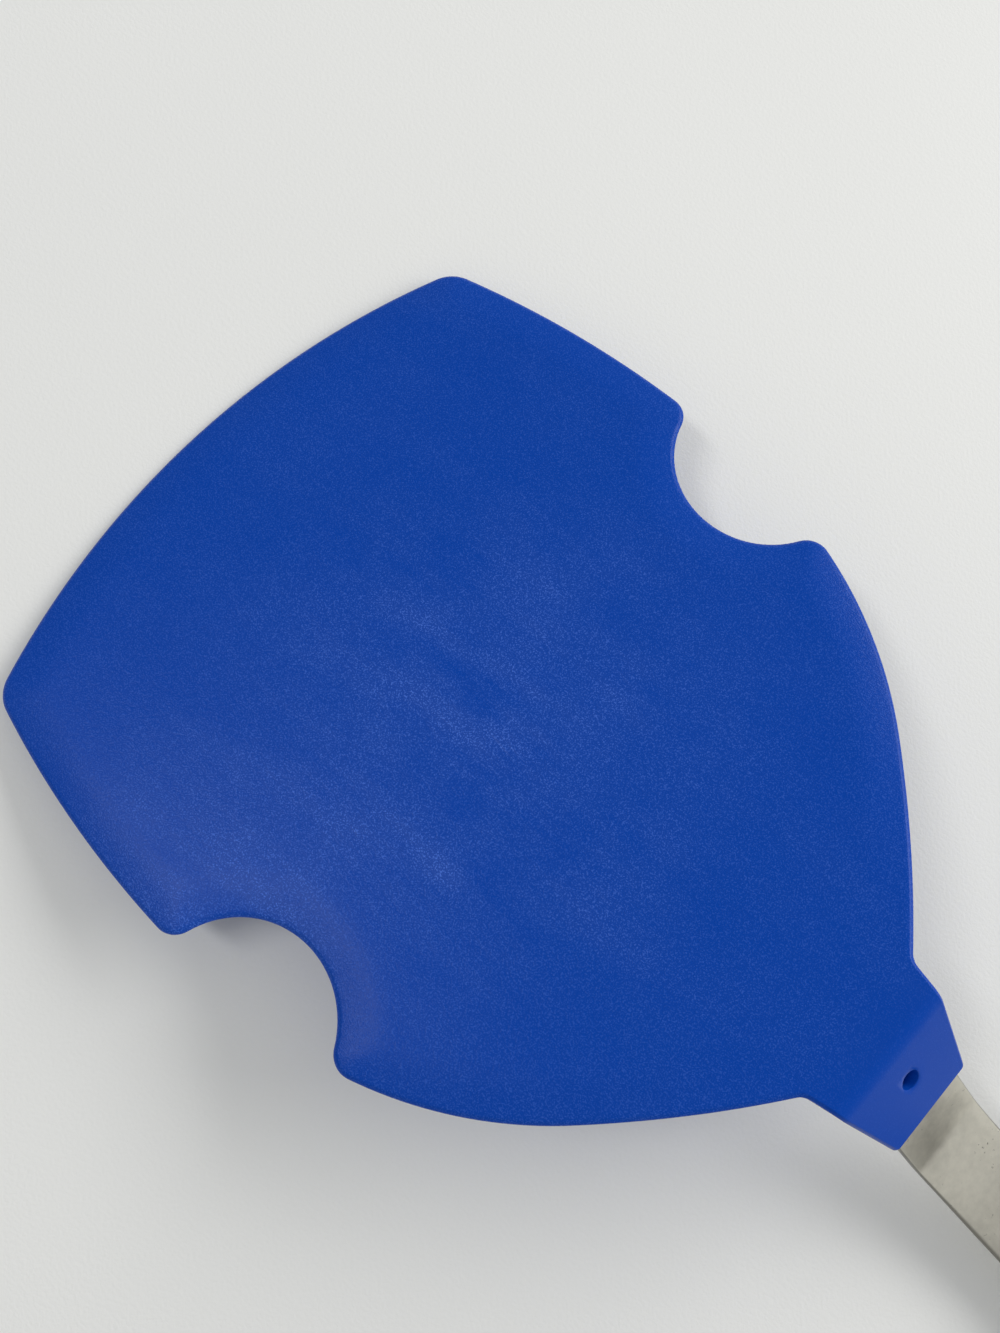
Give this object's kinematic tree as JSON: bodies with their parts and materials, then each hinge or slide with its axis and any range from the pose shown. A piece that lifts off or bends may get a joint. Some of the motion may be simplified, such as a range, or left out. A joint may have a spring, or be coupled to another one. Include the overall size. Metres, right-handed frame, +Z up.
{
  "type": "silicone turner",
  "caption": "Kitchen turner with a wide soft silicone blade, round side bites and a bent sleeve, on a cranked flat steel bar that runs through a riveted grip with a hang hole.",
  "frame": {"origin": "on the table under the middle of the whole tool, as it lies with its grip level and its front edge down", "axes": "+X along the grip, away from the blade; +Z up from the table; +Y across the tool, which is symmetric about the XZ plane"},
  "size_m": [0.3604, 0.14, 0.0374],
  "materials": {
    "silicone": "matte blue silicone with a fine grain",
    "core_plastic": "moulded glass-filled nylon",
    "bar_steel": "satin rolled stainless steel",
    "rivet_steel": "turned stainless steel",
    "grip_plastic": "matte moulded plastic with a fine texture"
  },
  "bodies": {
    "root": {"silicone_blade": "silicone", "blade_core": "core_plastic", "steel_shank": "bar_steel", "upper_scale": "grip_plastic", "lower_scale": "grip_plastic", "front_grip_rivet": "rivet_steel", "middle_grip_rivet": "rivet_steel", "rear_grip_rivet": "rivet_steel", "hang_eyelet": "rivet_steel"}
  },
  "joints": []
}
